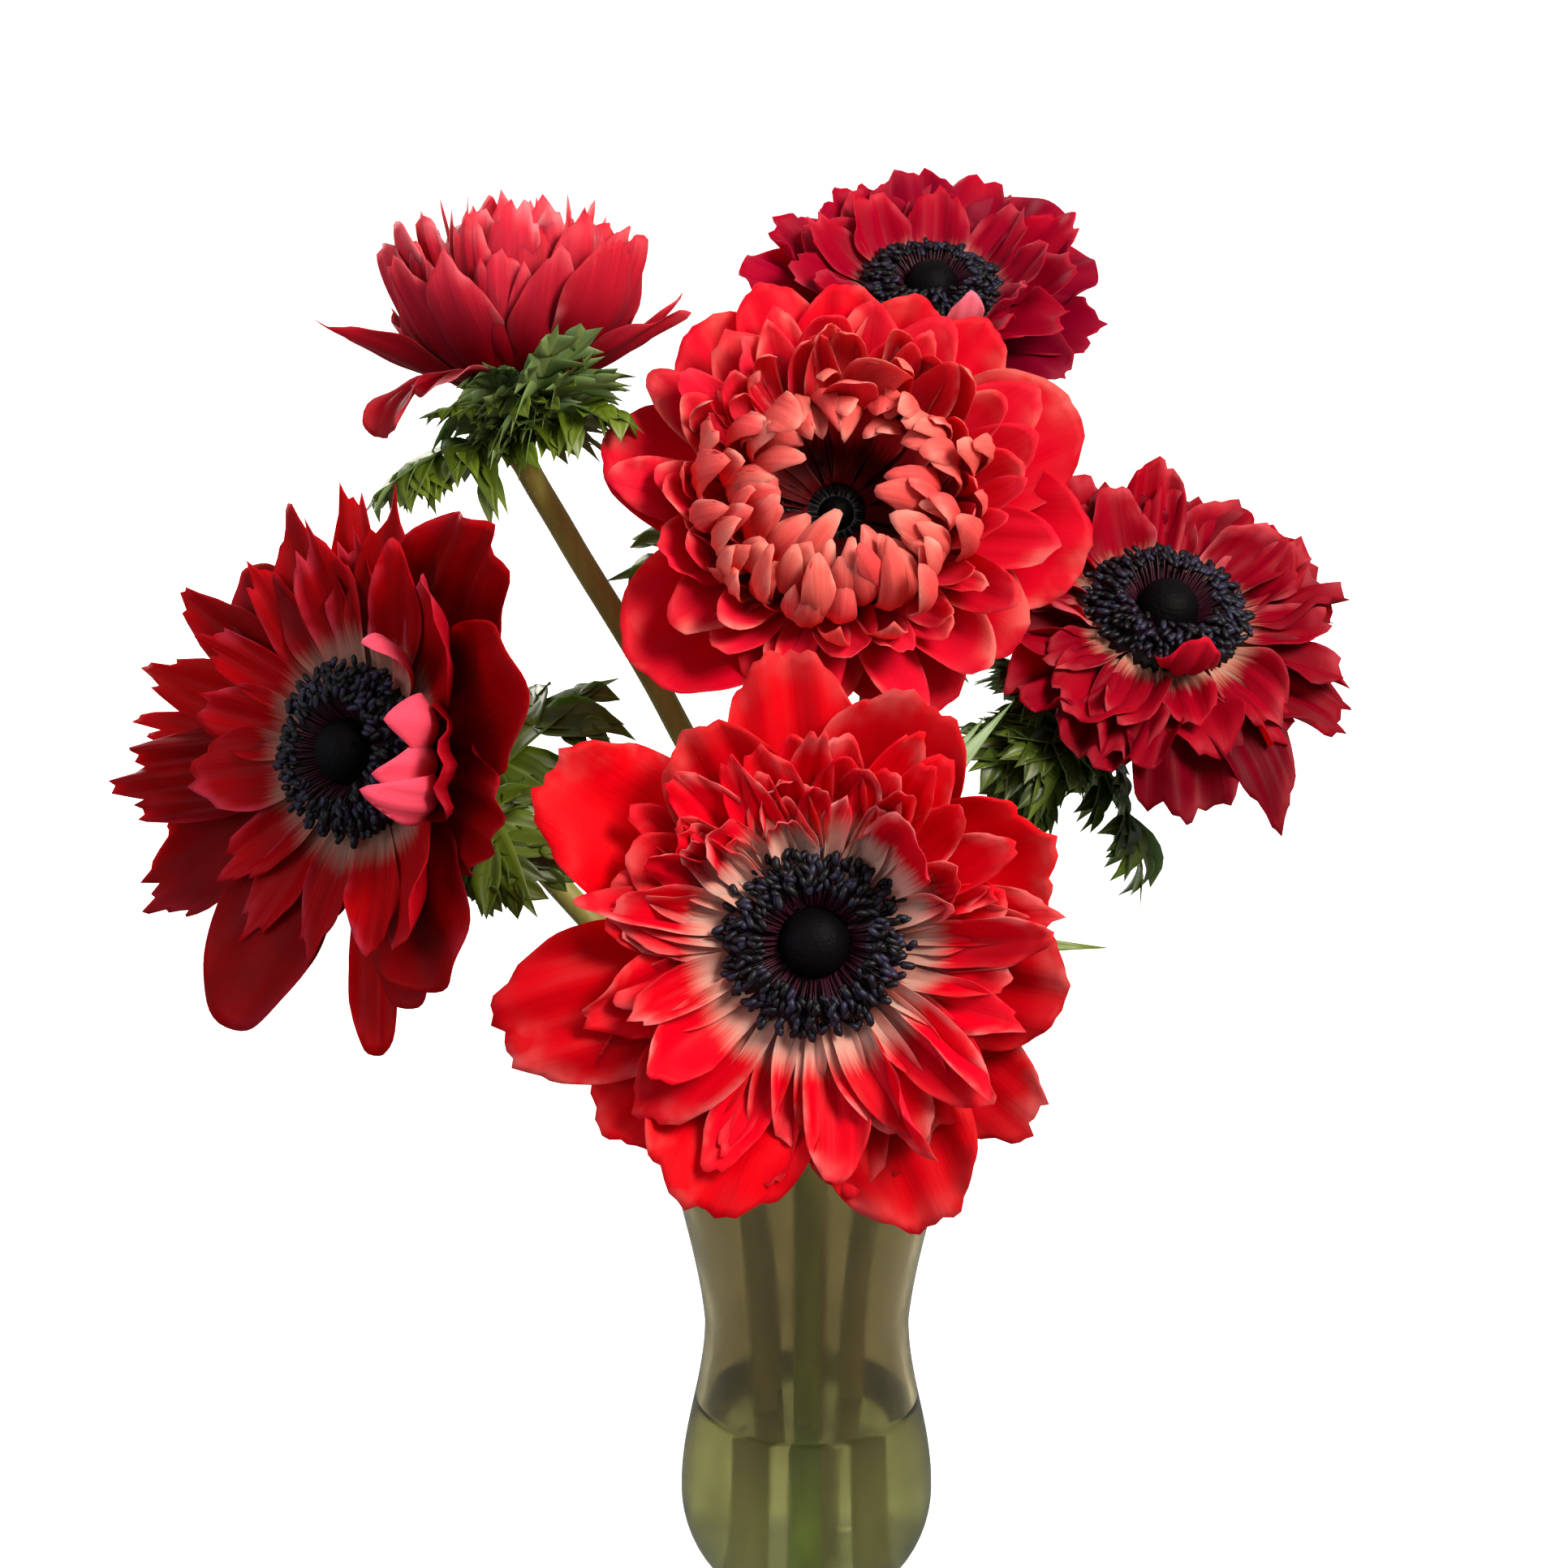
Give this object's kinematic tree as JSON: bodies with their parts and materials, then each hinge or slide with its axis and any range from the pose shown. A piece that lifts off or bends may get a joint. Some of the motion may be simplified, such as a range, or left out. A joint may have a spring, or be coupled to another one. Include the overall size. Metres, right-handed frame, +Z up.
{
  "type": "anemone bouquet in a glass vase",
  "caption": "Bouquet of red double anemones with dark hearts and cut leaf collars, standing in a small waisted glass vase of water.",
  "frame": {"origin": "centre of the vase's flat foot, on the surface it stands on", "axes": "+Z up the vase's axis, -Y towards the side seen first, +X to the right of that view"},
  "size_m": [0.2159, 0.1772, 0.2616],
  "materials": {
    "glass": "thin clear glass, smoky olive by its shade",
    "water": "still clear water",
    "stem_green": "satin olive green stem and leaf skin",
    "petal_scarlet": "satin scarlet petals, cream at the root",
    "petal_coral": "satin coral petals, peach inside",
    "petal_dark": "satin dark red petals",
    "petal_rose": "matt rose backs of upright petals",
    "petal_crimson": "satin crimson petals",
    "heart_black": "matt blue-black dome and anthers"
  },
  "bodies": {
    "root": {"vase": "glass", "water": "water", "stem_front": "stem_green", "stem_coral": "stem_green", "stem_left": "stem_green", "stem_nodding": "stem_green", "stem_back": "stem_green", "stem_right": "stem_green", "petals_front": "petal_scarlet", "petals_coral": "petal_coral", "petals_left": "petal_dark", "petals_nodding": "petal_rose", "petals_back": "petal_crimson", "petals_right": "petal_crimson", "heart_front": "heart_black", "heart_coral": "heart_black", "heart_left": "heart_black", "heart_nodding": "heart_black", "heart_back": "heart_black", "heart_right": "heart_black"}
  },
  "joints": []
}
